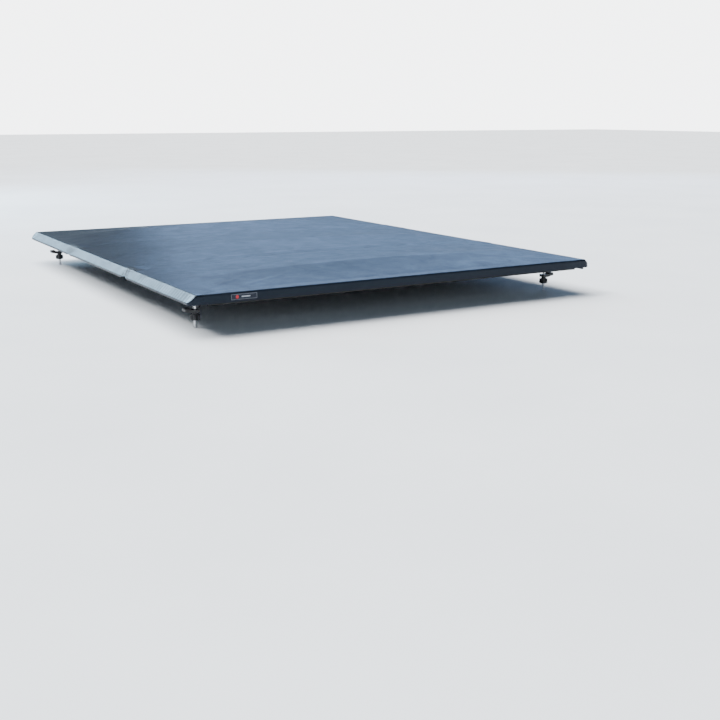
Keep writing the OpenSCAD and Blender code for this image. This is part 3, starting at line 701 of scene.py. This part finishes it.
def label_material():
    """A woven label: dark ground, a pale border, a round mark and a short pale bar."""
    m = Nodes("label_weave", Specular_IOR_Level=0.25, Sheen_Weight=0.1)
    uv = m.coords("cloth")
    across, upward = m.split(uv)
    edge = m.math("MAXIMUM", m.math("SUBTRACT", m.math("ABSOLUTE", across), LABEL_W / 2),
                  m.math("SUBTRACT", m.math("ABSOLUTE", upward), LABEL_H / 2))
    border = m.math("MULTIPLY", m.math("GREATER_THAN", edge, -0.0023), m.math("LESS_THAN", edge, -0.0014))
    away = m.math("ADD", across, 0.024)
    ring = m.math("SQRT", m.math("ADD", m.math("MULTIPLY", away, away), m.math("MULTIPLY", upward, upward)))
    disc = m.math("LESS_THAN", ring, 0.0056)
    from_bar = m.math("ABSOLUTE", m.math("SUBTRACT", across, 0.006))
    bar = m.math("MULTIPLY", m.math("LESS_THAN", from_bar, 0.015),
                 m.math("LESS_THAN", m.math("ABSOLUTE", upward), 0.0017))
    pick, fill = m.wave(uv, 900.0, "X"), m.wave(uv, 700.0, "Y")
    weave = m.math("MULTIPLY", pick, fill)
    fuzz = m.noise(uv, 420.0, 4.0)
    shade = m.add("ShaderNodeValToRGB")
    m.link(fuzz, shade.inputs["Fac"])
    ground = ((0.3, (0.010, 0.013, 0.024)), (0.75, (0.026, 0.032, 0.048)))
    for e, (at, rgb) in zip(shade.color_ramp.elements, ground):
        e.position, e.color = at, (*rgb, 1)
    pale = m.math("MAXIMUM", m.math("MULTIPLY", border, 0.45), bar)
    tone = m.mix(pale, shade.outputs["Color"], (0.50, 0.53, 0.58))
    m.link(m.mix(disc, tone, (0.50, 0.030, 0.040)), m.shader.inputs["Base Color"])
    m.rough(m.remap(fuzz, 0.60, 0.82))
    m.relief(m.math("ADD", weave, m.math("MULTIPLY", m.math("MAXIMUM", disc, bar), 0.8)), 0.00022, 0.7)
    return m.material


materials = {
    "vinyl": vinyl_material(),
    "backing": backing_material(),
    "black_rail": powder_coat("rail_powder_coat", (0.018, 0.019, 0.022), (0.034, 0.036, 0.041)),
    "mill_aluminium": drawn_metal("mill_aluminium", (0.50, 0.51, 0.53), (0.70, 0.71, 0.73), 0),
    "black_nylon": moulded("black_nylon", (0.015, 0.015, 0.017), (0.034, 0.034, 0.037)),
    "zinc_steel": zinc_material(),
    "seal_rubber": rubber_material("seal_rubber", (0.007, 0.007, 0.008), (0.020, 0.020, 0.021)),
    "clamp_black": powder_coat("clamp_powder_coat", (0.016, 0.016, 0.018), (0.040, 0.040, 0.043)),
    "pad_rubber": rubber_material("pad_rubber", (0.010, 0.010, 0.010), (0.030, 0.030, 0.030), ribs=90.0),
    "knob_plastic": moulded("knob_plastic", (0.010, 0.010, 0.012), (0.026, 0.026, 0.028), 900.0,
                            (0.40, 0.58)),
    "tag_woven": label_material(),
}

for part in frame["record"]["subparts"]:
    nodes[part["node"]].data.materials.clear()
    nodes[part["node"]].data.materials.append(materials[part["material_slot"]])

# ---------------------------------------------------------------- the cover's pieces

covers = {}
for index, name in enumerate(names):
    covers[name] = cover_piece(name, index)
    covers[name].data.materials.append(materials["vinyl"])
    covers[name].data.materials.append(materials["backing"])

# each panel's piece of vinyl rides on its panel in place of the frame's skin; the pieces over the folds, which
# have no turned-in hem, are only fixed in place where they are made
for name, body, node in (("rear_cover", "rear_panel", "rear_skin"),
                         ("middle_cover", "middle_panel", "middle_skin"),
                         ("front_cover", "front_panel", "front_skin")):
    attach(covers[name], body)
    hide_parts(node)
bends = {
    "rear_fold_near": ("rear_panel", "rear_fold_link", cuts[0], cuts[1]),
    "rear_fold_far": ("rear_fold_link", "middle_panel", cuts[1], cuts[2]),
    "front_fold_near": ("middle_panel", "front_fold_link", cuts[3], cuts[4]),
    "front_fold_far": ("front_fold_link", "front_panel", cuts[4], cuts[5]),
}
for name, (a, b, y0, y1) in bends.items():
    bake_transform(covers[name])
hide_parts("rear_fold_vinyl")
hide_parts("front_fold_vinyl")

# ---------------------------------------------------------------- the label


def label_piece(x, z, thick=0.0006, corner=0.0016):
    """A thin woven rectangle with rounded corners, standing on the vinyl of the rear face."""
    skin = np.array([v.co[:] for v in covers["rear_cover"].data.vertices])
    near = (abs(skin[:, 0] - x) < LABEL_W / 2 + 0.01) & (abs(skin[:, 2] - z) < LABEL_H / 2)
    near &= skin[:, 1] < -HALF_L + 0.01
    back = float(skin[near, 1].min()) - 0.0001
    outline = []
    for sx, sz, turn in ((1, 1, 0), (-1, 1, 90), (-1, -1, 180), (1, -1, 270)):
        for k in range(6):
            a = math.radians(turn + 18 * k)
            outline.append((sx * (LABEL_W / 2 - corner) + corner * math.cos(a),
                            sz * (LABEL_H / 2 - corner) + corner * math.sin(a)))
    n = len(outline)
    verts = [(x + u, back - thick * layer, z + v) for layer in (0, 1) for u, v in outline]
    faces = [tuple(range(n)), tuple(range(2 * n - 1, n - 1, -1))]
    faces += [(i, n + i, n + (i + 1) % n, (i + 1) % n) for i in range(n)]
    mesh = bpy.data.meshes.new("woven_label")
    mesh.from_pydata(verts, [], faces)
    layer = mesh.uv_layers.new(name="cloth")
    for loop in mesh.loops:
        v = verts[loop.vertex_index]
        layer.data[loop.index].uv = (v[0] - x, v[2] - z)
    obj = bpy.data.objects.new("woven_label", mesh)
    bpy.context.scene.collection.objects.link(obj)
    return obj


tag_low, tag_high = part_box("tag")
label = label_piece((tag_low[0] + tag_high[0]) / 2, (tag_low[2] + tag_high[2]) / 2)
label.data.materials.append(materials["tag_woven"])
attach(label, "rear_panel")
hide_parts("tag")

# ---------------------------------------------------------------- camera, floor and lights

camera = bpy.data.objects.new("camera", bpy.data.cameras.new("camera"))
bpy.context.scene.collection.objects.link(camera)
bpy.context.scene.camera = camera
YAW, PITCH, ROLL = math.radians(30.74), math.radians(-13.57), math.radians(0.08)
forward = Vector((math.sin(YAW) * math.cos(PITCH), math.cos(YAW) * math.cos(PITCH), math.sin(PITCH)))
right = forward.cross(Vector((0, 0, 1))).normalized()
up = right.cross(forward)
right, up = right * math.cos(ROLL) + up * math.sin(ROLL), up * math.cos(ROLL) - right * math.sin(ROLL)
turn = Matrix((right, up, -forward)).transposed()
camera.matrix_world = Matrix.Translation((-1.959, -3.940, 0.587)) @ turn.to_4x4()
camera.data.lens = 51.25
camera.data.sensor_width = 36
camera.data.clip_end = 100

FLOOR_Z = cad_box[0].z - 0.002
floor_mesh = bpy.data.meshes.new("floor")
floor_mesh.from_pydata([(-30, -30, FLOOR_Z), (30, -30, FLOOR_Z), (30, 30, FLOOR_Z), (-30, 30, FLOOR_Z)], [],
                       [(0, 1, 2, 3)])
floor = bpy.data.objects.new("floor", floor_mesh)
bpy.context.scene.collection.objects.link(floor)
f = Nodes("floor", Specular_IOR_Level=0.1)
f.colour(f.noise(f.coords(), 1.5, 4.0), (0.3, (0.80, 0.81, 0.82)), (0.7, (0.86, 0.87, 0.88)))
f.shader.inputs["Roughness"].default_value = 0.9
floor_mesh.materials.append(f.material)

world = bpy.data.worlds.new("studio")
bpy.context.scene.world = world
world.use_nodes = True
sky = world.node_tree.nodes["Background"]
sky.inputs["Color"].default_value = (0.55, 0.76, 1.0, 1)
sky.inputs["Strength"].default_value = 0.16
backdrop = world.node_tree.nodes.new("ShaderNodeBackground")
backdrop.inputs["Color"].default_value = (0.96, 0.98, 1.0, 1)
backdrop.inputs["Strength"].default_value = 5.5
seen = world.node_tree.nodes.new("ShaderNodeLightPath")
choice = world.node_tree.nodes.new("ShaderNodeMixShader")
world.node_tree.links.new(seen.outputs["Is Camera Ray"], choice.inputs["Fac"])
world.node_tree.links.new(sky.outputs["Background"], choice.inputs[1])
world.node_tree.links.new(backdrop.outputs["Background"], choice.inputs[2])
world.node_tree.links.new(choice.outputs["Shader"], world.node_tree.nodes["World Output"].inputs["Surface"])


def softbox(name, place, target, size, power, colour):
    """A soft rectangular light at place, facing target, that the camera doesn't see."""
    light = bpy.data.lights.new(name, "AREA")
    light.shape = "RECTANGLE"
    light.size, light.size_y = size
    light.energy = power
    light.color = colour
    obj = bpy.data.objects.new(name, light)
    bpy.context.scene.collection.objects.link(obj)
    obj.location = place
    obj.rotation_euler = (Vector(target) - Vector(place)).to_track_quat("-Z", "Y").to_euler()
    obj.visible_camera = False


def sun(name, power, angle, way):
    light = bpy.data.lights.new(name, "SUN")
    light.energy = power
    light.angle = math.radians(angle)
    light.color = (0.96, 0.98, 1.0)
    obj = bpy.data.objects.new(name, light)
    bpy.context.scene.collection.objects.link(obj)
    obj.rotation_euler = Vector(way).to_track_quat("-Z", "Y").to_euler()


softbox("key", (-1.8, 5.5, 2.2), (-0.4, 0, 0), (2.5, 2.0), 270, (0.50, 0.77, 1.0))
softbox("back", (5.1, 6.0, 2.5), (0.4, 0.0, 0.1), (7.4, 1.8), 205, (0.35, 0.56, 0.97))
softbox("fill", (-3.5, -6.5, 2.2), (0.0, 0.0, 0.1), (8.0, 2.0), 110, (0.72, 0.86, 1.0))
sun("overhead", 8.5, 70, (0.30, -0.45, -1.0))
sun("glint", 1.6, 9, (0.665, -0.233, -0.691))
